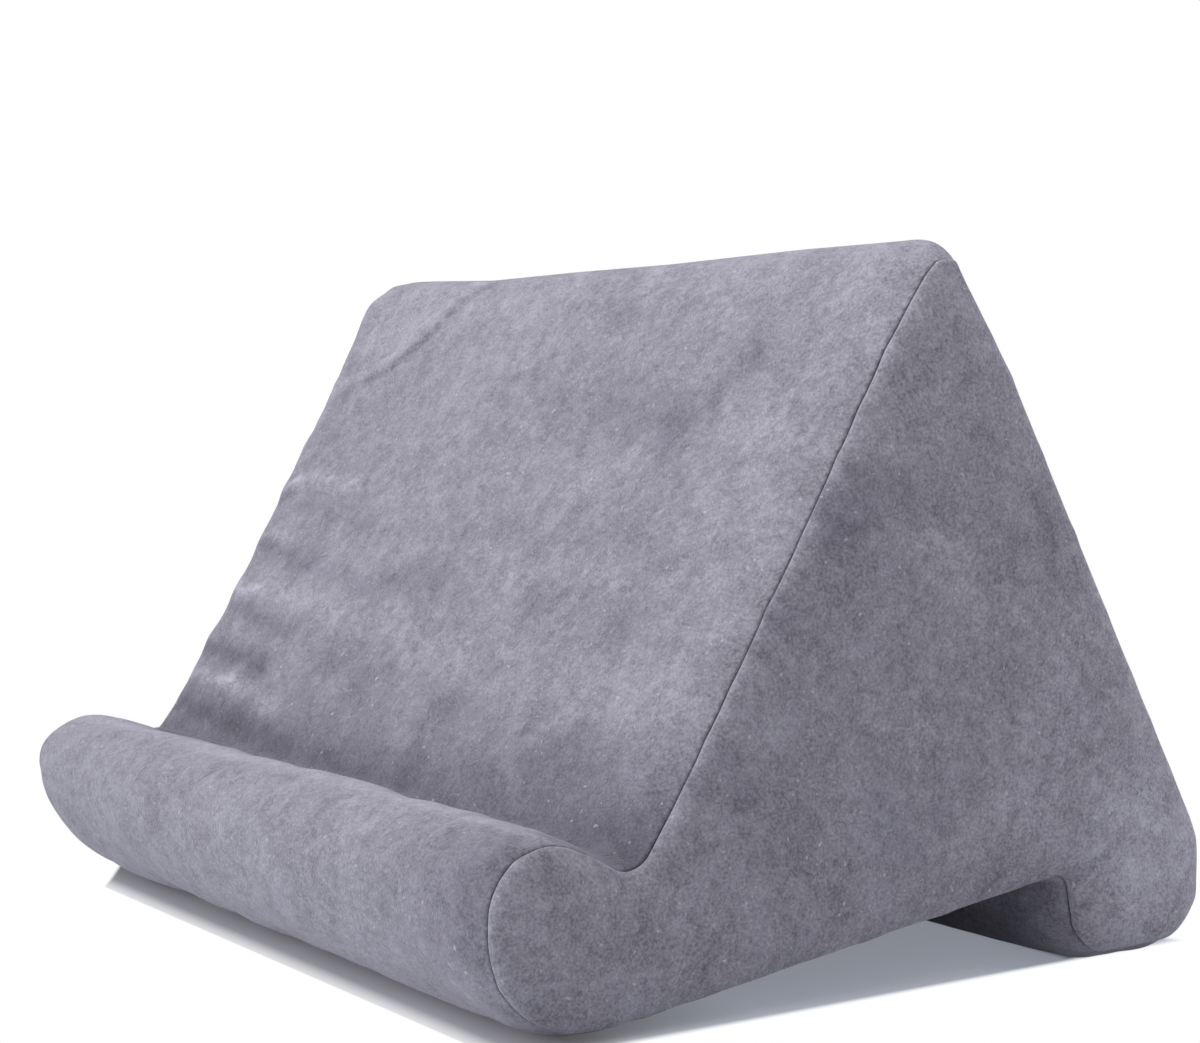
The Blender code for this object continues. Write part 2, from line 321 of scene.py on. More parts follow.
# painted light and shade: how much lighter or darker the cloth is painted where light and shade fall on its
# folds, puckers, groove, crest, ridge, lip and panels, with lighter and darker patches as well
paintedLightAndPatches = {
    # painted highlights on the crests and painted shade in the hollows of the puckers: from and to, each
    # across and up the slope, half width, all in millimetres, and how much lighter
    "strokes": [
        (-150, 124.5, -102, 140.5, 1.8, 0.26), (-152, 88, -132, 93.6, 1.3, 0.46),
        (-135, 93.8, -86, 94, 2.2, 0.22), (-150, 71.5, -118, 74.2, 1.6, 0.26),
        (-152, 52, -120, 53.3, 1.8, 0.5), (-125, 53, -60, 49.8, 3.5, 0.15), (-152, 22.2, -100, 21, 2.2, 0.42),
        (-110, 21, -66, 17, 3.2, 0.3), (-146, 133.5, -134, 137, 1.8, -0.22),
        (-146, 121.5, -130, 125, 1.6, -0.2), (-118, 130.8, -89.6, 147.3, 1.5, -0.13),
        (-89.6, 147.3, -81.8, 163.1, 1.5, -0.11), (-142, 86.8, -134, 88, 1.8, -0.36),
        (-120, 85, -65, 79.5, 4.5, -0.16), (-131, 102, -127, 102.5, 1.5, -0.18),
        (-138, 69.5, -91, 63.5, 3.4, -0.28), (-83, 62.8, -45, 59.8, 4.5, -0.18),
        (-36, 61, 10, 62, 4.5, -0.12), (-140, 47.5, -82, 41.2, 3.2, -0.26), (-142, 32, -88, 28.8, 3.4, -0.38),
        (-145, 12.5, -107, 9.4, 2.6, -0.36), (-100, 9.1, -49, 6.2, 4, -0.28), (-49, 6.2, 31, 4.3, 3.5, -0.14),
    ],
    # painted highlight and painted shade on the fold's flanks, for each unit of slope that it turns up, and
    # down
    "foldHighlight": 2.4,
    "foldShade": 0.42,
    "leftSeamShade": 0.45,       # painted shade right at the left seam of the slope and lip
    "leftSeamShadeReach": 0.0045,
    # painted shade in the groove
    "groove": 0.33,
    "grooveShadeReach": (0.024, 0.010),      # up the slope, and up the ledge
    "crestHighlight": 0.32,          # painted highlight on the top of the lip
    "crestHighlightReach": 0.0045,
    # painted highlight along the ridge
    "ridge": 0.15,
    "ridgeReach": 0.032,
    "lipEndShade": 0.34,         # painted shade at the lip's right end, and how far in and round it reaches
    "lipEndShadeReach": (0.036, 0.040),
    "limits": (0.45, 1.6),
    # painted light on the end panels: the factor at the front, at the back, and from where and over what
    # depth it changes
    "panelFrontLight": 0.95,
    "panelBackLight": 1.28,
    "panelBackFrom": 0.030,
    "panelBackOver": 0.060,
    # lighter and darker patches of the slope, in the same form, and of the end panels, by depth and height
    "slopePatches": [
        (93.3, 151.6, 98.3, 135.2, 5, -0.15), (98.3, 135.2, 94.3, 123.7, 5.5, -0.15),
        (44, 125, 77.7, 116.5, 9.5, -0.15), (77.7, 116.5, 88.9, 122.5, 7.5, -0.12),
        (99, 98.7, 114.8, 108.2, 3.5, -0.14), (80.2, 106.1, 95.5, 103.1, 3.5, -0.1),
        (101.3, 119.2, 121, 116.1, 4, 0.13), (121, 116.1, 119.1, 109.4, 4.5, 0.12),
        (106, 155.9, 111.4, 162.6, 5.5, -0.12), (54.6, 163.6, 84.4, 161.3, 3, -0.1),
        (23.6, 154.5, 42.3, 151.6, 4, -0.09), (-43.4, 67, -1.6, 67.6, 4.5, -0.13),
        (50.3, 61, 63.8, 66, 4, -0.14), (4.3, 126.9, 35.6, 116.3, 8, -0.09),
        (89.5, 20.1, 109.1, 28.2, 6, -0.13), (-62, 36.1, -9.3, 32.6, 5, -0.13),
        (27.5, 28.2, 51.5, 31, 4, -0.1), (-35.2, 81, 20.8, 81.8, 3.5, -0.07),
        (29.7, 71.8, 91, 73.9, 3.5, 0.1), (-9.3, 45.4, 36.3, 39.4, 6, 0.12),
        (42.4, 99.6, 67.8, 102.6, 6, 0.09), (13, 18.3, 51.2, 15.1, 3.5, 0.1), (102, 60, 102, 82, 8, -0.1),
        (90, 40, 130, 40, 10, 0.1), (115, 80, 130, 145, 16, 0.07),
    ],
    "panelPatches": [
        (-16.1, 119.9, -3.8, 135.2, 5, -0.14), (-16.1, 117.7, 3.2, 123.9, 5, -0.14),
        (46.7, 120.6, 59, 99.2, 3.5, -0.12), (67, 77.5, 74.9, 67.5, 4.5, -0.13),
        (-1.9, 45.3, 15.2, 39.2, 7.5, -0.11), (-50.4, 62.4, -42.5, 55.2, 5, -0.11),
        (-34.7, 87.6, -29.5, 96.1, 3.5, -0.13), (11.8, 114.6, 41, 90.6, 8.5, 0.13),
        (-2, 72.4, 12.1, 66.9, 4.5, 0.12), (-13.3, 115.4, -2.3, 112.8, 3, 0.12),
        (0.3, 139.6, 17.2, 146.2, 6, 0.08), (65.8, 46.7, 84.8, 38, 6, 0.08),
        (75.3, 36.4, 88.1, 30.5, 3.5, -0.1), (5.7, 168.6, 11.4, 164.2, 4, -0.1), (45, 50, 55, 75, 12, 0.16),
        (25, 36, 42, 40, 10, 0.11), (74, 73, 80, 60, 6, -0.08), (80, 30, 90, 25, 16, 0.08),
    ],
    "panelTopLight": 0.14,       # painted light, more towards the top of the panels
    "panelTopFrom": 0.11,
    "panelTopOver": 0.06,
    # how sharp the edges of strokes and patches are, and what share of the waves they have
    "strokeForm": (2, 0.2),
    "patchForm": (4, 0.8),
    # waves that make the edges uneven: height, length, phase
    "edgeWaves": [(0.0036, 0.023, 1.3), (0.0020, 0.0113, 0.4), (0.0011, 0.0061, 2.2)],
}


def waved(first, second, share):
    # both coordinates shifted by share * sum of height * sin(2 pi * slanting place / length + phase)
    one = two = 0.0
    for high, long, late in paintedLightAndPatches["edgeWaves"]:
        one = one + share * high * np.sin(2 * np.pi * (second + 0.6 * first) / long + late)
        two = two + share * high * np.sin(2 * np.pi * (first - 0.4 * second) / long - late)
    return first + one, second + two


def paintedShadingAndPatches(first, second, strokes, edge, wave):
    # sum of amount * exp(-(distance from a stroke / half width)^edge), with waved edges: painted highlight
    # and shade along pucker strokes, or lighter and darker patches
    first, second = waved(first, second, wave)
    place = 1000 * (first + 1j * second)
    total = 0.0
    for fromFirst, fromSecond, toFirst, toSecond, width, amount in strokes:
        start, side = fromFirst + 1j * fromSecond, toFirst - fromFirst + 1j * (toSecond - fromSecond)
        share = np.clip(((place - start) * np.conj(side)).real / abs(side) ** 2, 0, 1)
        total = total + amount * np.exp(-(abs(place - start - share * side) / width) ** edge)
    return total


def stripPaintedLightAndPatches(along, across):
    # painted light and shade: 1 + painted highlight and shade on the flanks of the folds and puckers +
    # patches + painted highlight on the ridge and crest - painted shade in the groove, at the left seam and
    # at the lip's right end, where each place counts as amount * exp(-(distance / reach)^2)
    step = 0.0007
    turned = (diagonalFold(along + step, across) - diagonalFold(along - step, across)) / (2 * step)
    paintedShading = np.maximum(turned, 0) * paintedLightAndPatches["foldHighlight"] + np.minimum(turned, 0) * paintedLightAndPatches["foldShade"]
    up, onSlope = upSlope(along)
    paintedShading = paintedShading + paintedShadingAndPatches(across, up, paintedLightAndPatches["strokes"], *paintedLightAndPatches["strokeForm"]) * onSlope
    paintedShading = paintedShading - paintedLightAndPatches["leftSeamShade"] * np.exp(-((across + seamX) / paintedLightAndPatches["leftSeamShadeReach"]) ** 2)
    fromGroove = awayFrom(along, grooveAt)
    grooveShade = paintedLightAndPatches["groove"] * np.exp(-(fromGroove / np.where(fromGroove < 0, *paintedLightAndPatches["grooveShadeReach"])) ** 2)
    crestAt = lipTopAt - profile["lipTopRadius"] * np.radians(90 - profile["ledgeTilt"]) / 2
    paintedCrest = paintedLightAndPatches["crestHighlight"] * np.exp(-(awayFrom(along, crestAt) / paintedLightAndPatches["crestHighlightReach"]) ** 2)
    ridgeHighlight = paintedLightAndPatches["ridge"] * np.exp(-(awayFrom(along, ridgeAt) / paintedLightAndPatches["ridgeReach"]) ** 2)
    reachIn, reachRound = paintedLightAndPatches["lipEndShadeReach"]
    lipEndShade = np.exp(-((across - seamX) / reachIn) ** 2 - (awayFrom(along, lipTopAt) / reachRound) ** 2)
    patches = paintedShadingAndPatches(across, up, paintedLightAndPatches["slopePatches"], *paintedLightAndPatches["patchForm"]) * onSlope
    lightAndPatches = 1 + paintedShading + patches - grooveShade + paintedCrest + ridgeHighlight - paintedLightAndPatches["lipEndShade"] * lipEndShade
    return np.clip(lightAndPatches, *paintedLightAndPatches["limits"])


def panelPaintedLightAndPatches(flat):
    # painted light, lighter towards the back and the top: front + (back - front) * share of the depth + top *
    # share of the height, with patches added
    share = smooth((flat.real - paintedLightAndPatches["panelBackFrom"]) / paintedLightAndPatches["panelBackOver"])
    base = paintedLightAndPatches["panelFrontLight"] + (paintedLightAndPatches["panelBackLight"] - paintedLightAndPatches["panelFrontLight"]) * share
    top = paintedLightAndPatches["panelTopLight"] * smooth((flat.imag - paintedLightAndPatches["panelTopFrom"]) / paintedLightAndPatches["panelTopOver"])
    return base + top + paintedShadingAndPatches(flat.real, flat.imag, paintedLightAndPatches["panelPatches"], *paintedLightAndPatches["patchForm"])


# mesh helpers

def gridFaces(rows, columns, closeRows, closeColumns):
    # quads (r, c), (r, c+1), (r+1, c+1), (r+1, c), wrapping round where asked
    r = np.arange(rows if closeRows else rows - 1)[:, None]
    c = np.arange(columns if closeColumns else columns - 1)[None, :]
    nextRow, nextColumn = (r + 1) % rows, (c + 1) % columns
    quads = np.stack([r * columns + c, r * columns + nextColumn,
                      nextRow * columns + nextColumn, nextRow * columns + c], -1)
    return quads.reshape(-1, 4)


def signedVolume(points, triangles):
    a, b, c = points[triangles[:, 0]], points[triangles[:, 1]], points[triangles[:, 2]]
    return np.einsum("ij,ij->i", a, np.cross(b, c)).sum() / 6


def makePiece(name, points, quads, triangles=None):
    # a mesh object from arrays, turned so that its faces point outwards
    triangles = np.zeros((0, 3), int) if triangles is None else triangles
    every = np.concatenate([quads[:, [0, 1, 2]], quads[:, [0, 2, 3]], triangles])
    if signedVolume(points, every) < 0:
        quads, triangles = quads[:, ::-1], triangles[:, ::-1]
    mesh = bpy.data.meshes.new(name)
    mesh.from_pydata(points.tolist(), [], quads.tolist() + triangles.tolist())
    mesh.update()
    mesh.shade_smooth()
    piece = bpy.data.objects.new(name, mesh)
    bpy.context.scene.collection.objects.link(piece)
    return piece


def giveMap(piece, name, u, v, wrap=0.0):
    # A UV map from one (u, v) for each vertex, in metres. On quads that cross from the end of u to
    # its start, wrap is added to the small values.
    mesh = piece.data
    corner = np.empty(len(mesh.loops), np.int32)
    mesh.loops.foreach_get("vertex_index", corner)
    u, v = u[corner], v[corner]
    if wrap:
        quads = u.reshape(-1, 4)
        crossing = np.ptp(quads, 1) > wrap / 2
        quads[crossing] += wrap * (quads[crossing] < wrap / 2)
    layer = mesh.uv_layers.new(name=name)
    layer.uv.foreach_set("vector", np.stack([u, v], -1).astype(np.float32).ravel())


def giveAttribute(piece, name, values):
    made = piece.data.attributes.new(name, "FLOAT", "POINT")
    made.data.foreach_set("value", values.astype(np.float32))


# the sewn corner, where the strip and an end panel roll into their seam

seam = {
    "shoulder": 0.012,      # over which the strip rounds down to the seam, and how suddenly
    "shoulderPower": 2.2,
    # how deep the seam lies, by place on the profile: landmark, metres past it, depth
    "depths": [
        (lipFootAt, 0.0, 0.0018), (toeAt, 0.0, 0.0028), (archAt, 0.0, 0.0022), (heelInnerAt, 0.0, 0.0032),
        (heelOuterAt, 0.0, 0.0040), (heelBackAt, 0.0, 0.0032), (ridgeAt, -0.040, 0.0030),
        (ridgeAt, -0.004, 0.0054), (ridgeAt, 0.004, 0.0056), (ridgeAt, 0.016, 0.0030),
        (ridgeAt, 0.034, 0.0021), (ridgeAt, 0.090, 0.0030), (grooveAt, -0.020, 0.0030),
        (grooveAt, 0.0, 0.0018), (grooveAt, 0.020, 0.0012), (lipTopAt, -0.010, 0.0018),
        (lipTopAt, 0.006, 0.0021), (lipTopAt, 0.030, 0.0018),
    ],
    "depthWindow": 0.006,
    "rollRadius": 0.00095,
    "panelLow": 0.0003,     # how far the panel's roll lies below the strip's
    "clearance": 0.00010,   # of each layer from the seam plane
    "hemInset": 0.0076,
    "puff": 0.0050,         # how far an end panel stands out past its seam
    "puffShoulder": 0.0100,
    "crown": 0.0011,        # more at the middle of the panel
    "crownReach": 0.030,
    "ridgeFlat": 0.85,      # share of the puff that is missing at the ridge, and how far that reaches
    "ridgeFlatReach": 0.026,
    "cloth": 0.0014,
    "hemTurn": 0.0070,      # where the inner layer leaves the hem
    # the inner layer's corner: inside the seam by, inset, and share of the seam's depth
    "innerIn": [0.0015, 0.0015, 0.0023, 0.0055, 0.013, 0.028],
    "innerInset": [0.0076, 0.0070, 0.0014, 0.0014, 0.0016, 0.0014],
    "innerSunk": [0.0, 0.0, 0.92, 0.52, 0.0, 0.0],
    "innerMiddle": 0.05,
    "faceRings": [0.0004, 0.0009],      # two rings down the panel's shoulder, past its roll
    "faceStep": 0.0022,
    "rollPast": 24,         # degrees by which the panel's roll turns past upright
    "rollSteps": 8,
    "shoulderSteps": 10,
    "flatSteps": 97,
}


def seamDepth(along):
    # depth of the seam at each arc length, interpolated and averaged over the window either side
    places = np.array([np.mod(place + past, outline.total) for place, past, depth in seam["depths"]])
    order = np.argsort(places)
    depths = np.array([depth for place, past, depth in seam["depths"]])
    return readTable(along, places[order], depths[order], seam["depthWindow"], period=outline.total)


def stripSection(depth):
    # The strip's outer section as across + i * inset for each depth in a column: from the middle out
    # the flat, the shoulder depth * t^power, an arc and the hem, and the same mirrored.
    s = seam
    power = s["shoulderPower"]
    half = seamX - s["clearance"]
    slope = np.arctan(power * depth / (s["shoulder"] - s["rollRadius"]))
    rollStart = half - s["rollRadius"] * (1 - np.sin(slope))
    flatEnd = seamX - s["shoulder"]
    q = np.linspace(-1, 1, s["flatSteps"])
    flat = flatEnd * (0.55 * q + 0.45 * np.sin(np.pi / 2 * q)) + 0j * depth
    t = np.linspace(0, 1, s["shoulderSteps"] + 1)[1:]
    shoulder = flatEnd + (rollStart - flatEnd) * t + 1j * depth * t ** power
    centre = shoulder[:, -1:] + 1j * s["rollRadius"] * np.exp(1j * slope)
    angle = slope + (np.pi / 2 - slope) * np.linspace(0, 1, s["rollSteps"] + 1)[1:]
    roll = centre - 1j * s["rollRadius"] * np.exp(1j * angle)
    share = np.linspace(0, 1, 4)[1:]
    hem = half + 1j * (roll.imag[:, -1:] * (1 - share) + s["hemInset"] * share)
    edge = np.concatenate([shoulder, roll, hem], 1)
    return np.concatenate([-np.conj(edge[:, ::-1]), flat, edge], 1)


def stripInside(depth):
    # the inner face of the strip from the +X hem back to the -X hem
    s = seam
    inset = np.array(s["innerInset"]) + np.array(s["innerSunk"]) * depth
    edge = seamX - np.array(s["innerIn"]) + 1j * inset
    flatEnd = seamX - s["innerMiddle"]
    middle = np.linspace(flatEnd, -flatEnd, 7) + 1j * s["cloth"] + 0j * depth
    return np.concatenate([edge, middle, -np.conj(edge[:, ::-1])], 1)


def sweep(section, along, lift):
    # the bent section, at each place across
    flat = bend(along, section.real, section.imag - lift)
    across = np.broadcast_to(section.real, flat.shape)
    return np.stack([across, flat.real, flat.imag], -1)


def panelSection(depth):
    # The rim of an end panel as (out past the seam, inset) for each depth in a column: hem, then an
    # arc over the roll and down to the shoulder.
    s = seam
    end = np.radians(s["rollPast"])
    low = depth + s["panelLow"] + s["rollRadius"]
    share = np.linspace(0, 1, 4)
    hem = s["clearance"] + 1j * (s["hemInset"] * (1 - share) + low * share)
    centre = s["clearance"] + s["rollRadius"] + 1j * low
    angle = np.linspace(0, np.pi / 2 + end, s["rollSteps"] + 1)[1:]
    return np.concatenate([hem, centre - s["rollRadius"] * np.exp(1j * angle)], 1)


def panelFace(past, flat):
    # How far the panel stands out at a distance past its rim: from the roll it swells as a quarter
    # ellipse to the puff, then crowns by crown * (1 - exp(-past / reach)), less near the ridge.
    s = seam
    rim = panelSection(np.zeros((1, 1)))[0, -1].real
    t = np.clip(past / s["puffShoulder"], 0, 1)
    rise = (s["puff"] - rim) * np.sqrt(np.maximum(1 - (1 - t) ** 2, 0))
    full = rise + s["crown"] * (1 - np.exp(-np.maximum(past, 0) / s["crownReach"]))
    return rim + full * (1 - s["ridgeFlat"] * np.exp(-(abs(flat - ridge) / s["ridgeFlatReach"]) ** 2))


# the cover pressed out by its filling, as a coarse cloth under pressure, held at seams and folds

filling = {
    "every": 4,             # profile points to a row
    "columns": 45,
    "panelStep": 0.0065,
    "pressure": 3.5,
    "slack": 0.008,         # extra cloth, as a share of its length
    "frames": 20,
    "most": 0.0010,         # the furthest that a point may move out
    "mostIn": 0.0005,
    "panelMost": 0.0014,
    "heldNear": 0.009,      # of the groove and the arch corner
    "floorGap": 0.0016,
    "rimFade": 0.014,
    "quality": 6,
    "mass": 0.3,
    "stiffness": 15,
    "shear": 5,
    "bending": 1.0,
}


def swell(points, faces, held):
    # Runs Cloth on a throwaway mesh and returns how far each point moved. Nothing of it is kept.
    mesh = bpy.data.meshes.new("pressed")
    mesh.from_pydata(points.tolist(), [], faces)
    piece = bpy.data.objects.new("pressed", mesh)
    bpy.context.scene.collection.objects.link(piece)
    piece.vertex_groups.new(name="held").add(np.flatnonzero(held).tolist(), 1.0, "REPLACE")
    cloth = piece.modifiers.new("cloth", "CLOTH")
    cloth.point_cache.frame_start, cloth.point_cache.frame_end = 1, filling["frames"]
    settings = cloth.settings
    settings.quality, settings.mass = filling["quality"], filling["mass"]
    settings.tension_stiffness = settings.compression_stiffness = filling["stiffness"]
    settings.shear_stiffness, settings.bending_stiffness = filling["shear"], filling["bending"]
    settings.use_pressure, settings.uniform_pressure_force = True, filling["pressure"]
    settings.shrink_min = -filling["slack"]
    settings.vertex_group_mass = "held"
    settings.effector_weights.gravity = 0
    for frameNumber in range(1, filling["frames"] + 1):
        bpy.context.scene.frame_set(frameNumber)
    shaped = piece.evaluated_get(bpy.context.evaluated_depsgraph_get()).data
    moved = np.empty(len(points) * 3, np.float32)
    shaped.vertices.foreach_get("co", moved)
    bpy.data.objects.remove(piece)
    bpy.data.meshes.remove(mesh)
    bpy.context.scene.frame_set(1)
    return moved.reshape(-1, 3) - points


def swellStrip():
    # a table of moves along the normal, rows round the profile and columns across
    rows = around[::filling["every"]]
    across = np.linspace(-1, 1, filling["columns"]) * seamX
    normal = outline.at(rows)[1]
    lift = coverLift(rows[:, None], across[None, :], folds=False) + slopeFolds(rows[:, None], across[None, :])
    flat = bend(rows, across[None, :], -lift)
    points = np.stack([np.broadcast_to(across, flat.shape), flat.real, flat.imag], -1)
    held = (abs(across)[None, :] > seamX - 0.001) | (flat.imag < filling["floorGap"])
    for corner in (grooveAt, archAt):
        held = held | (abs(awayFrom(rows, corner)) < filling["heldNear"])[:, None]
    faces = gridFaces(len(rows), len(across), True, False)[:, ::-1].tolist()
    moves = swell(points.reshape(-1, 3), faces, held.ravel()).reshape(*flat.shape, 3)
    along = moves[..., 1] * normal.real[:, None] + moves[..., 2] * normal.imag[:, None]
    most = np.where(along > 0, filling["most"], filling["mostIn"])
    return np.tanh(along / most) * most * ~held


def splineWeights(t):
    # the four cubic B-spline weights at a share t between two points
    return np.stack([(1 - t) ** 3, 3 * t ** 3 - 6 * t ** 2 + 4,
                     -3 * t ** 3 + 3 * t ** 2 + 3 * t + 1, t ** 3]) / 6


def pressed(along, across):
    # the table of moves read as a cubic B-spline, round the profile and across
    if stripMoves is None:
        return 0.0
    rows, columns = stripMoves.shape
    places = np.append(around, outline.total)
    row = np.interp(np.mod(along, outline.total), places, np.arange(len(places))) / filling["every"]
    column = np.clip((across / seamX + 1) / 2 * (columns - 1), 0, columns - 1)
    rowStart, columnStart = np.floor(row).astype(int), np.floor(column).astype(int)
    rowShare, columnShare = splineWeights(row - rowStart), splineWeights(column - columnStart)
    total = 0.0
    for i in range(4):
        for j in range(4):
            value = stripMoves[(rowStart + i - 1) % rows, np.clip(columnStart + j - 1, 0, columns - 1)]
            total = total + rowShare[i] * columnShare[j] * value
    return total


def swellPanel(side):
    # coarse lattice points over an end panel, and how far each moves out
    rows = around[::filling["every"]]
    inset = seamDepth(rows) + seam["faceRings"][-1] - coverLift(rows, side * seamX)
    loop = bend(rows, side * seamX, inset[:, None])[:, 0]
    inner, depthIn, triangles = fillLoop(loop, filling["panelStep"])
    flat = np.concatenate([loop, inner])
    past = np.concatenate([np.zeros(len(loop)), depthIn]) + seam["faceRings"][-1]
    out = side * (seamX + panelFace(past, flat))
    points = np.stack([out, flat.real, flat.imag], -1)
    faces = (triangles if side > 0 else triangles[:, ::-1]).tolist()
    moves = swell(points, faces, np.arange(len(flat)) < len(loop))[:, 0] * side
    return flat, np.tanh(moves / filling["panelMost"]) * filling["panelMost"]


def pressedFace(flat, past, moves):
    # the coarse moves averaged round each point with weights exp(-(distance / spacing)^2)
    if moves is None:
        return 0.0
    weight = np.exp(-(abs(flat[:, None] - moves[0][None, :]) / filling["panelStep"]) ** 2)
    return weight @ moves[1] / weight.sum(1) * smooth(past / filling["rimFade"])


# build

def makeStrip():
    depth = seamDepth(around)[:, None]
    outer, inner = stripSection(depth), stripInside(depth)
    outerPoints = sweep(outer, around, coverLift(around[:, None], outer.real))
    innerPoints = sweep(inner, around, coverLift(around[:, None], inner.real, folds=False))
    points = np.concatenate([outerPoints, innerPoints], 1)
    section = np.concatenate([outer, inner], 1)
    faces = gridFaces(*points.shape[:2], True, True)
    piece = makePiece("cover_wrap", points.reshape(-1, 3), faces)
    along = np.broadcast_to(around[:, None], section.shape)
    giveMap(piece, "cloth", along.ravel(), section.real.ravel(), outline.total)
    # distance over the cloth from where the roll meets the panel, with hem and inside at zero
    half = outer[:, outer.shape[1] // 2 + 1:-3]
    steps = abs(np.diff(half[:, ::-1], axis=1))
    away = np.concatenate([0 * depth, np.cumsum(steps, 1)], 1)[:, ::-1]
    away = np.concatenate([inner.real[:, :3] * 0, away[:, ::-1], away[:, :1], away, inner.real[:, :3] * 0,
                           np.zeros(inner.shape)], 1)
    giveMap(piece, "seam", along.ravel(), away.ravel(), outline.total)
    # painted light and shade, with lighter and darker patches, kept as a point attribute
    giveAttribute(piece, "paintedLightAndPatches", stripPaintedLightAndPatches(along, section.real).ravel())
    return piece


def distanceTo(points, loop):
    # shortest distance from each point to the sides of a closed loop, all as y + iz
    a, b = loop, np.roll(loop, -1)
    rel = points[:, None] - a[None, :]
    side = (b - a)[None, :]
    share = np.clip((rel * np.conj(side)).real / abs(side) ** 2, 0, 1)
    return abs(rel - share * side).min(1)


def insideOf(points, loop):
    # winding number of the loop round each point, taken from the summed angles
    rel = loop[None, :] - points[:, None]
    return abs(np.angle(np.roll(rel, -1, 1) / rel).sum(1)) > np.pi


def lattice(step, loop, clear):
    # hexagonal lattice of points inside a loop and clear of it
    y = np.arange(loop.real.min(), loop.real.max(), step)
    z = np.arange(loop.imag.min(), loop.imag.max(), step * np.sqrt(3) / 2)
    grid = y[None, :] + 1j * z[:, None]
    grid[1::2] += step / 2
    grid = grid.ravel()
    grid = grid[insideOf(grid, loop)]
    return grid[distanceTo(grid, loop) > clear]


def fillLoop(loop, step):
    # Delaunay triangles over a closed loop and a lattice inside it: lattice points, their distance
    # from the loop, and triangles that number the loop first, all turning left.
    inner = lattice(step, loop, step * 0.55)
    flat = np.concatenate([loop, inner])
    ring = np.arange(len(loop))
    coords = [Vector(pair) for pair in np.stack([flat.real, flat.imag], 1).tolist()]
    borders = np.stack([ring, np.roll(ring, -1)], 1).tolist()
    triangles = np.array(geometry.delaunay_2d_cdt(coords, borders, [], 1, 1e-7)[2])
    a, b, c = flat[triangles[:, 0]], flat[triangles[:, 1]], flat[triangles[:, 2]]
    flip = cross(b - a, c - a) < 0
    triangles[flip] = triangles[flip][:, ::-1]
    return inner, distanceTo(inner, loop), triangles


def makePanel(name, side, moves):
    # rings down the rim, a lattice over the face, and the same again one cloth thickness inside
    place, normal = outline.at(around)
    count = len(around)
    depth = seamDepth(around)[:, None]
    shift = coverLift(around, side * seamX)[:, None]
    rim = panelSection(depth)
    past = np.array(seam["faceRings"])
    more = rim.imag[:, -1:] + past
    outerRim = np.concatenate([rim, panelFace(past, place[:, None] - more * normal[:, None]) + 1j * more], 1)
    hemIn = seam["clearance"] + seam["cloth"]
    low = np.zeros((count, 1))
    innerRim = np.concatenate([low + hemIn + 1j * seam["hemInset"], low + hemIn + 1j * seam["hemTurn"],
                               outerRim[:, -1:] - seam["cloth"]], 1)
    shells = []
    for section, thickness in ((outerRim, 0.0), (innerRim, seam["cloth"])):
        rings = bend(around, side * seamX, section.imag - shift).T
        if thickness == 0.0:
            inner, depthIn, triangles = fillLoop(rings[-1], seam["faceStep"])
            depthIn = depthIn + past[-1]
            puffed = panelFace(depthIn, inner) + pressedFace(inner, depthIn, moves)
        flat = np.concatenate([rings.ravel(), inner])
        out = np.concatenate([section.real.T.ravel(), puffed - thickness])
        # distance over the cloth from where the roll meets the strip
        steps = abs(np.diff(section[:, 3:], axis=1)) if thickness == 0.0 else np.zeros((count, 0))
        away = np.concatenate([np.zeros((count, section.shape[1] - steps.shape[1])), np.cumsum(steps, 1)], 1)
        away = np.concatenate([away.T.ravel(), depthIn + away.max()])
        along = np.concatenate([np.tile(around, len(rings)), np.zeros(len(inner))])
        last = (len(rings) - 1) * count
        faces = triangles + last        # the lattice follows the last ring
        shells.append((flat, out, away, along, gridFaces(len(rings), count, False, True), faces))
    base = len(shells[0][0])
    ring = np.arange(count)
    bridge = np.stack([ring, ring + base, np.roll(ring, -1) + base, np.roll(ring, -1)], -1)
    outer, inner = shells
    quads = np.concatenate([outer[4], (inner[4] + base)[:, ::-1], bridge])
    triangles = np.concatenate([outer[5], (inner[5] + base)[:, ::-1]])
    flat, out, away, along = [np.concatenate([outer[k], inner[k]]) for k in range(4)]
    points = np.stack([side * (seamX + out), flat.real, flat.imag], -1)
    piece = makePiece(name, points, quads, triangles)
    giveMap(piece, "cloth", flat.real, flat.imag)
    giveMap(piece, "seam", along, away)
    # painted light and shade, with lighter and darker patches, kept as a point attribute
    giveAttribute(piece, "paintedLightAndPatches", panelPaintedLightAndPatches(flat))
    return piece


foam = {
    # the block: half its section from the flat to the rim, inside the seam by and inset
    "endIn": [0.030, 0.013, 0.006, 0.003, 0.0025],
    "endInset": [0.0021, 0.0025, 0.0040, 0.0060, 0.0068],
    "middleIn": 0.045,
    "every": 4,             # profile points to a row
    "capStep": 0.006,
    "capRim": 0.0025,       # how far the rim of a cap lies inside the seam
    "capPast": 0.0030,
    "capFrom": 0.0017,
    "capOver": 0.006,
    "light": (0.86, 0.81, 0.66, 1.0),
    "dark": (0.74, 0.68, 0.52, 1.0),
    "cellSize": 0.0016,
    "cloudSize": 0.03,
    "roughness": 0.95,
}


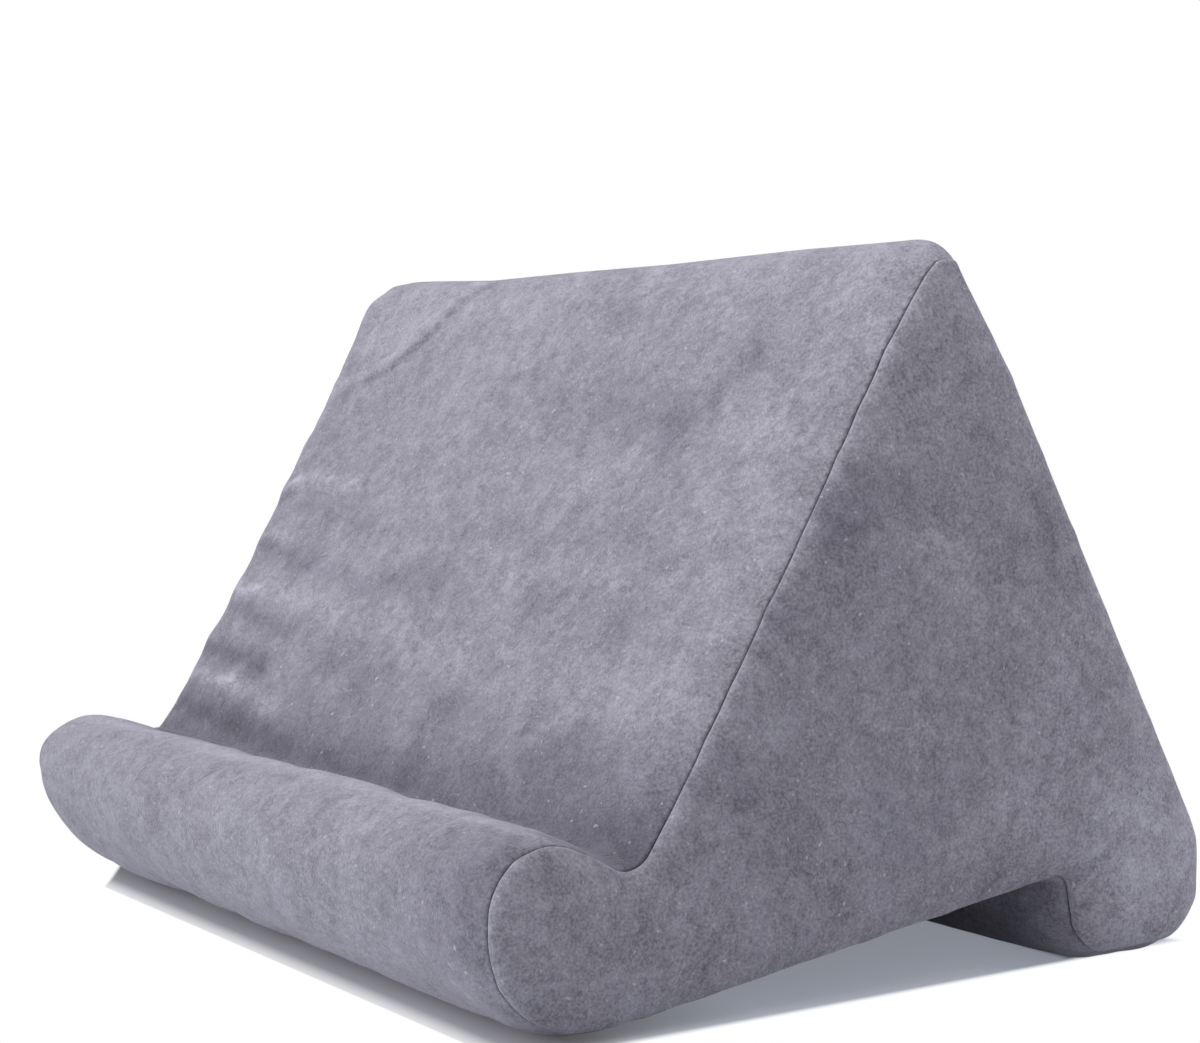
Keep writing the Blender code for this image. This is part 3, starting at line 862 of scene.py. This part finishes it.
def makeFoam():
    # The block that fills the cover, following its face one cloth thickness and a gap inside. A cap
    # bulges as the panel's face does, from its rim over a smooth step.
    f = foam
    edge = seamX - np.array(f["endIn"]) + 1j * np.array(f["endInset"])
    middle = np.linspace(f["middleIn"] - seamX, seamX - f["middleIn"], 9) + 1j * f["endInset"][0]
    section = np.concatenate([-np.conj(edge[::-1]), middle, edge])[None, :]
    coarse = around[::f["every"]]
    lift = coverLift(coarse[:, None], section.real, folds=False)
    points = sweep(section, coarse, lift).transpose(1, 0, 2)
    rings, count = points.shape[:2]
    loop = points[0, :, 1] + 1j * points[0, :, 2]
    inner, depthIn, triangles = fillLoop(loop, f["capStep"])
    bulge = panelFace(depthIn + f["capPast"], inner) - f["endInset"][0] + f["capRim"]
    out = bulge * smooth((depthIn - f["capFrom"]) / f["capOver"]) - f["capRim"]
    caps = [np.stack([side * (seamX + out), inner.real, inner.imag], -1) for side in (-1, 1)]
    every = np.concatenate([points.reshape(-1, 3), *caps])
    body = rings * count

    def capFaces(ring, extra):
        # rim points lie in this ring, lattice points after the body
        return triangles + np.where(triangles < count, ring * count, body + extra - count)

    faces = np.concatenate([capFaces(0, 0)[:, ::-1], capFaces(rings - 1, len(inner))])
    return makePiece("foam_block", every, gridFaces(rings, count, False, True), faces)


print("cover: filling the strip")
stripMoves = swellStrip()
print("cover: filling the end panels")
panelMoves = {side: swellPanel(side) for side in (-1, 1)}
print("cover: strip")
strip = makeStrip()
print("cover: end panels")
panels = [makePanel("cover_panel_left", -1, panelMoves[-1]), makePanel("cover_panel_right", 1, panelMoves[1])]
print("foam")
foamBlock = makeFoam()

# materials

class Wire:
    # one socket of a node tree; arithmetic on it adds Math nodes
    def __init__(self, bench, socket):
        self.bench, self.socket = bench, socket

    def math(self, operation, *others):
        return self.bench.add("ShaderNodeMath", {"operation": operation}, dict(enumerate([self, *others])))

    def clip(self, low=0.0, high=1.0):
        return self.math("MAXIMUM", low).math("MINIMUM", high)

    def __add__(self, other): return self.math("ADD", other)
    def __sub__(self, other): return self.math("SUBTRACT", other)
    def __mul__(self, other): return self.math("MULTIPLY", other)
    def __truediv__(self, other): return self.math("DIVIDE", other)
    __radd__ = __add__
    __rmul__ = __mul__

    def __rsub__(self, other):
        return self.bench.add("ShaderNodeMath", {"operation": "SUBTRACT"}, {0: other, 1: self})


class Bench:
    # the node tree of a material or a world, and the one way nodes are added to it
    def __init__(self, owner, shader):
        owner.use_nodes = True
        self.owner, self.tree = owner, owner.node_tree
        self.shader = self.tree.nodes[shader]

    def add(self, kind, settings, sockets, output=0):
        node = self.tree.nodes.new(kind)
        for key, value in settings.items():
            setattr(node, key, value)
        for key, value in sockets.items():
            self.feed(node.inputs[key], value)
        return Wire(self, node.outputs[output])

    def feed(self, socket, value):
        if isinstance(value, Wire):
            self.tree.links.new(value.socket, socket)
        else:
            socket.default_value = value

    def finish(self, **sockets):
        for key, value in sockets.items():
            self.feed(self.shader.inputs[key.replace("_", " ")], value)
        return self.owner

    def here(self):
        return self.add("ShaderNodeTexCoord", {}, {}, "Object")

    def axis(self, place, name):
        return self.add("ShaderNodeSeparateXYZ", {}, {"Vector": place}, name)

    def mix(self, share, first, second):
        return self.add("ShaderNodeMix", {"data_type": "RGBA"}, {"Factor": share, 6: first, 7: second}, 2)

    def span(self, value, start, end, low=0.0, high=1.0, form="LINEAR"):
        # low to high as value goes from start to end, and level beyond
        return self.add("ShaderNodeMapRange", {"interpolation_type": form},
                        {"Value": value, "From Min": start, "From Max": end, "To Min": low, "To Max": high})

    def noise(self, place, size, detail, roughness=0.5, distortion=0.0):
        # fractal noise whose features are about size metres, spread round 0.5
        return self.add("ShaderNodeTexNoise", {}, {"Vector": place, "Scale": 1 / size, "Detail": detail,
                                                   "Roughness": roughness, "Distortion": distortion})

    def bump(self, height):
        return self.add("ShaderNodeBump", {}, {"Strength": 0.6, "Distance": 0.0006, "Height": height})


def newMaterial(name):
    return Bench(bpy.data.materials.new(name), "Principled BSDF")


plush = {
    "light": (0.418, 0.407, 0.478, 1.0),
    "dark": (0.165, 0.159, 0.193, 1.0),
    # each noise: size, detail, roughness, distortion, weight in the colour, weight in the relief
    "noises": {
        "cloud": (0.036, 3.0, 0.55, 0.6, 0.6, 0.0),
        "patch": (0.011, 4.0, 0.6, 1.0, 0.9, 1.2),
        "tuft": (0.0028, 3.0, 0.65, 0.8, 1.1, 0.8),
        "grain": (0.00075, 2.0, 0.7, 0.0, 1.6, 0.7),
    },
    "stretch": (0.62, 1.0, 1.0),            # of the tufts, longer across than up
    "shadeAndPatchTint": (0.96, 0.95, 1.02, 1.0),      # tint where painted shade or darker patches lower the colour, and how soon it shows
    "shadeAndPatchTintGain": 2.5,
    "lint": (0.62, 0.62, 0.64, 1.0),
    "lintSize": 0.0013,
    "lintFrom": (0.79, 0.86),
    "lintShare": 0.55,
    "stitchPitch": 0.0031,
    "stitchHeight": (0.020, 0.055),         # over which the stitches fade in
    "stitchLow": 0.15,
    "unevenSize": 0.016,
    "pulledLow": 0.15,
    "seamShadeShare": 0.75,        # share of the seam's painted shade that also lowers the painted light and shade factor
    # by the seam: middle and half width of each band, in millimetres over the cloth
    "lineShadeBand": (0.0, 0.5),
    "stitchShadeBand": (0.6, 0.5),
    "pitBand": (0.75, 0.5),
    "rimHighlightBand": (1.3, 0.6),
    # how dark the painted shade in the seam's line and at the stitch pits is (the pits' value also sets their
    # depth in the relief), and how light the painted highlight on the panel's roll is, on strip and panels
    "stripShades": (0.38, 0.27, 0.0),
    "panelShades": (0.26, 0.12, 0.40),
    "sheen": 0.50,
    "sheenRoughness": 0.36,
    "sheenTint": (0.88, 0.86, 1.0, 1.0),
    "roughness": 0.92,
    "roughnessSwing": 0.08,
    "specular": 0.15,
}


def plushFinish(name, line, pitShadeAndDepth, rim):
    # tone = 0.5 + sum of weight * (noise - 0.5). Near the seam, where band is
    # exp(-((away - middle) / width)^2), it becomes
    # tone * (1 - line * pulled * band - pitShadeAndDepth * stitch * band) + rim * band, with painted shade in
    # the seam's line and at the stitches and a painted highlight on the roll, and it mixes the dark and the
    # light colour, which the painted light and shade and the patches then multiply. Lint lies over all.
    bench = newMaterial(name)
    p = plush
    place = bench.here()
    seamMap = bench.add("ShaderNodeUVMap", {"uv_map": "seam"}, {})
    along = bench.axis(seamMap, "X")
    away = bench.axis(seamMap, "Y") * 1000

    def band(key):
        middle, width = p[key]
        offset = (away - middle) / width
        return (offset * offset * -1.0).math("EXPONENT")

    wide = bench.add("ShaderNodeVectorMath", {"operation": "MULTIPLY"}, {0: place, 1: p["stretch"]})
    made, tone, relief = {}, 0.5, 0.0
    for kind, (size, detail, roughness, distortion, inTone, inRelief) in p["noises"].items():
        made[kind] = bench.noise(wide if kind == "tuft" else place, size, detail, roughness, distortion) - 0.5
        tone = tone + made[kind] * inTone
        relief = relief + made[kind] * inRelief
    tone = tone.clip()
    uneven = bench.noise(place, p["unevenSize"], 1.0)
    shown = bench.span(bench.axis(place, "Z"), *p["stitchHeight"], p["stitchLow"])
    wave = (along * (2 * np.pi / p["stitchPitch"])).math("SINE")
    stitch = (wave * 0.9 + (uneven - 0.5) * 2.0).clip() * shown
    pulled = (0.5 + (uneven - 0.5) * 3.0 + made["tuft"] * 3.0).clip(p["pulledLow"])
    # painted shade in the seam's line and at the stitches, and a painted highlight on the roll beside the
    # seam
    dark = 1 - band("lineShadeBand") * line * pulled - band("stitchShadeBand") * stitch * pitShadeAndDepth
    rimHighlight = band("rimHighlightBand") * rim * (0.6 + 0.4 * stitch)
    tone = (tone * dark + rimHighlight).clip()
    lightAndPatches = bench.add("ShaderNodeAttribute", {"attribute_name": "paintedLightAndPatches"}, {}, "Fac")
    # a bluer tint where painted shade and darker patches lower the colour
    tint = bench.mix(((1 - lightAndPatches) * p["shadeAndPatchTintGain"]).clip(), (1.0, 1.0, 1.0, 1.0), p["shadeAndPatchTint"])
    colour = bench.mix(tone, p["dark"], p["light"])
    colour = bench.add("ShaderNodeVectorMath", {"operation": "MULTIPLY"}, {0: colour, 1: tint})
    # the painted light and shade with its patches, and a share of the seam's painted shade, scale the colour
    lightAndPatchScale = (1 - (1 - dark) * p["seamShadeShare"]) * lightAndPatches
    colour = bench.add("ShaderNodeVectorMath", {"operation": "SCALE"}, {0: colour, "Scale": lightAndPatchScale})
    fleck = bench.span(bench.noise(place, p["lintSize"], 0.0), *p["lintFrom"], 0.0, p["lintShare"])
    colour = bench.mix(fleck, colour, p["lint"])
    relief = relief - band("pitBand") * stitch * (pitShadeAndDepth * 0.8)
    bench.finish(Base_Color=colour, Roughness=p["roughness"] + (tone - 0.5) * p["roughnessSwing"])
    bench.finish(Sheen_Weight=p["sheen"], Sheen_Roughness=p["sheenRoughness"], Sheen_Tint=p["sheenTint"])
    return bench.finish(Normal=bench.bump(relief), Specular_IOR_Level=p["specular"])


for piece, node in zip([strip, *panels], ["cover_strip", "cover_end_left", "cover_end_right"]):
    shades = plush["stripShades"] if piece is strip else plush["panelShades"]
    piece.data.materials.append(plushFinish("plush_" + piece.name, *shades))
    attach(piece, "root")
    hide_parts(node)


def foamFinish(name):
    # open cells: dark where a Voronoi cell's centre is near, over a soft cloud
    bench = newMaterial(name)
    place = bench.here()
    cell = bench.add("ShaderNodeTexVoronoi", {}, {"Vector": place, "Scale": 1 / foam["cellSize"]})
    cloud = bench.noise(place, foam["cloudSize"], 3.0)
    tone = (cell * 0.7 + cloud * 0.5).math("MINIMUM", 1.0)
    bench.finish(Base_Color=bench.mix(tone, foam["dark"], foam["light"]), Normal=bench.bump(cell))
    return bench.finish(Roughness=foam["roughness"] + (cloud - 0.5) * 0.08, Specular_IOR_Level=0.2)


foamBlock.data.materials.append(foamFinish("foam_cells"))
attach(foamBlock, "root")
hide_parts("foam_core")

# floor, light and camera

stage = {
    # each lamp: turn from the front, left negative, and height, in degrees, and watts
    "lamps": {"overhead": (-10, 85, 13.6), "front": (-8, 18, 16.2),
              "back": (130, 50, 6.9), "left": (-75, 48, 3.8)},
    "lampDistance": 2.0,
    "lampSize": 1.0,
    "lampsAim": (0, 0, 0.09),
    "world": 0.35,
    "floorSize": 8.0,
    "floorColour": (0.84, 0.86, 0.90, 1.0),
    # painted contact shadow in the floor's colour, and how strongly it shows
    "contactShadowColour": (0.40, 0.40, 0.45, 1.0),
    "contactShadowGain": 1.2,
    "paper": (1.0, 1.0, 1.0, 1.0),
    "shadeTint": (0.72, 0.82, 1.0, 1.0),    # of the shadow under the arch, and in front of tintFrom
    "frontTint": (0.93, 0.92, 0.97, 1.0),
    "tintFrom": -0.085,
    "tintOver": 0.055,
    "shadowLift": 0.28,     # share of plain white in the shadow itself, and in its front
    "frontLift": 0.08,
    "shadowEdges": (-0.0925, 0.143, -0.1052, 0.112),     # left, right, front and back of the footprint
    "shadowSoftness": (0.004, 0.006, 0.0010, 0.008),
    "farLeft": -0.150,
    "farLeftSoftness": 0.020,
    "leftSlant": 1.9,       # by how much the left edge goes out towards the back, and the right one comes in
    "rightSlant": 0.115,
    "contact": -0.0965,     # where the shadow is deepest, how far it fades from there, and how much
    "contactReach": 0.0100,
    "contactFade": 0.60,
    "contactBack": -0.070,
    "heelContact": 0.0782,
    "heelContactReach": 0.0040,
    # the photo's camera
    "cameraPlace": (0.6914, -0.404, 0.1533),
    "cameraAzimuth": 58.93,
    "cameraDown": 2.94,
    "cameraLens": 82.5,
}


def cameraSees(bench):
    # 1 for camera, glossy and transmission rays
    seen = [bench.add("ShaderNodeLightPath", {}, {}, name)
            for name in ("Is Camera Ray", "Is Glossy Ray", "Is Transmission Ray")]
    return (seen[0] + seen[1] + seen[2]).math("MINIMUM", 1.0)


def floorFinish():
    # The lit floor inside the footprint of the shadow, plain white beyond it. The footprint's edges
    # are (edge - place) / softness, and the one that is passed most counts.
    bench = newMaterial("floor")
    s = stage
    place = bench.here()
    x, y = bench.axis(place, "X"), bench.axis(place, "Y")
    left, right, front, back = s["shadowEdges"]
    leftSoft, rightSoft, frontSoft, backSoft = s["shadowSoftness"]
    outside = (left + front * s["leftSlant"] - x - y * s["leftSlant"]) / leftSoft
    for edge in ((x + y * s["rightSlant"] - right) / rightSoft, (s["farLeft"] - x) / s["farLeftSoftness"],
                 (front - y) / frontSoft, (y - back) / backSoft):
        outside = outside.math("MAXIMUM", edge)
    outside = bench.span(outside, 0.0, 1.0, form="SMOOTHSTEP")
    fade = bench.span((s["contact"] - y) / s["contactReach"], 0.0, 1.0, 0.0, s["contactFade"], "SMOOTHSTEP")
    under = ((y - s["tintFrom"]) / s["tintOver"]).clip()
    heelGap = ((s["heelContact"] - y) / s["heelContactReach"]).clip()
    lift = (s["frontLift"] + under * (s["shadowLift"] - s["frontLift"])) * heelGap
    lit = outside.math("MAXIMUM", fade).math("MAXIMUM", lift)
    tint = bench.mix(lit, bench.mix(under, s["frontTint"], s["shadeTint"]), s["paper"])
    paper = bench.add("ShaderNodeEmission", {}, {"Color": tint, "Strength": 1.0})
    # painted contact shadow, darker along the lip's contact: 1 - |y - middle| / half, between the band's
    # edges
    halfBand = (s["contactBack"] - front) / 2
    contactShadow = (1 - ((y - front - halfBand) / halfBand).math("ABSOLUTE")).math("MAXIMUM", 0.0) * (1 - outside)
    ground = bench.mix((contactShadow * s["contactShadowGain"]).math("MINIMUM", 1.0), s["floorColour"], s["contactShadowColour"])
    bench.finish(Base_Color=ground, Roughness=1.0, Specular_IOR_Level=0.0)
    mixed = bench.add("ShaderNodeMixShader", {}, {0: cameraSees(bench) * lit,
                                                  1: Wire(bench, bench.shader.outputs[0]), 2: paper})
    bench.feed(bench.tree.nodes["Material Output"].inputs["Surface"], mixed)
    return bench.owner


print("stage")
bpy.ops.mesh.primitive_plane_add(size=stage["floorSize"])
floor = bpy.context.object
floor.name = "floor"
floor.data.materials.append(floorFinish())

bpy.context.scene.world = bpy.data.worlds.new("studio")
bench = Bench(bpy.context.scene.world, "Background")
bench.finish(Color=(1, 1, 1, 1), Strength=cameraSees(bench) * (1 - stage["world"]) + stage["world"])

for name, (turn, height, power) in stage["lamps"].items():
    lamp = bpy.data.lights.new(name, "AREA")
    lamp.shape, lamp.size, lamp.energy = "DISK", stage["lampSize"], power
    holder = bpy.data.objects.new(name, lamp)
    bpy.context.scene.collection.objects.link(holder)
    turn, height = np.radians(turn), np.radians(height)
    away = Vector((np.sin(turn) * np.cos(height), -np.cos(turn) * np.cos(height), np.sin(height)))
    holder.location = Vector(stage["lampsAim"]) + away * stage["lampDistance"]
    holder.rotation_euler = away.to_track_quat("Z", "Y").to_euler()

camera = bpy.data.objects.new("camera", bpy.data.cameras.new("camera"))
bpy.context.scene.collection.objects.link(camera)
camera.data.lens, camera.data.sensor_width, camera.data.sensor_fit = stage["cameraLens"], 36.0, "HORIZONTAL"
camera.location = stage["cameraPlace"]
camera.rotation_euler = (np.radians(90 - stage["cameraDown"]), 0.0, np.radians(stage["cameraAzimuth"]))
bpy.context.scene.camera = camera
bpy.context.scene.view_settings.view_transform = "Standard"
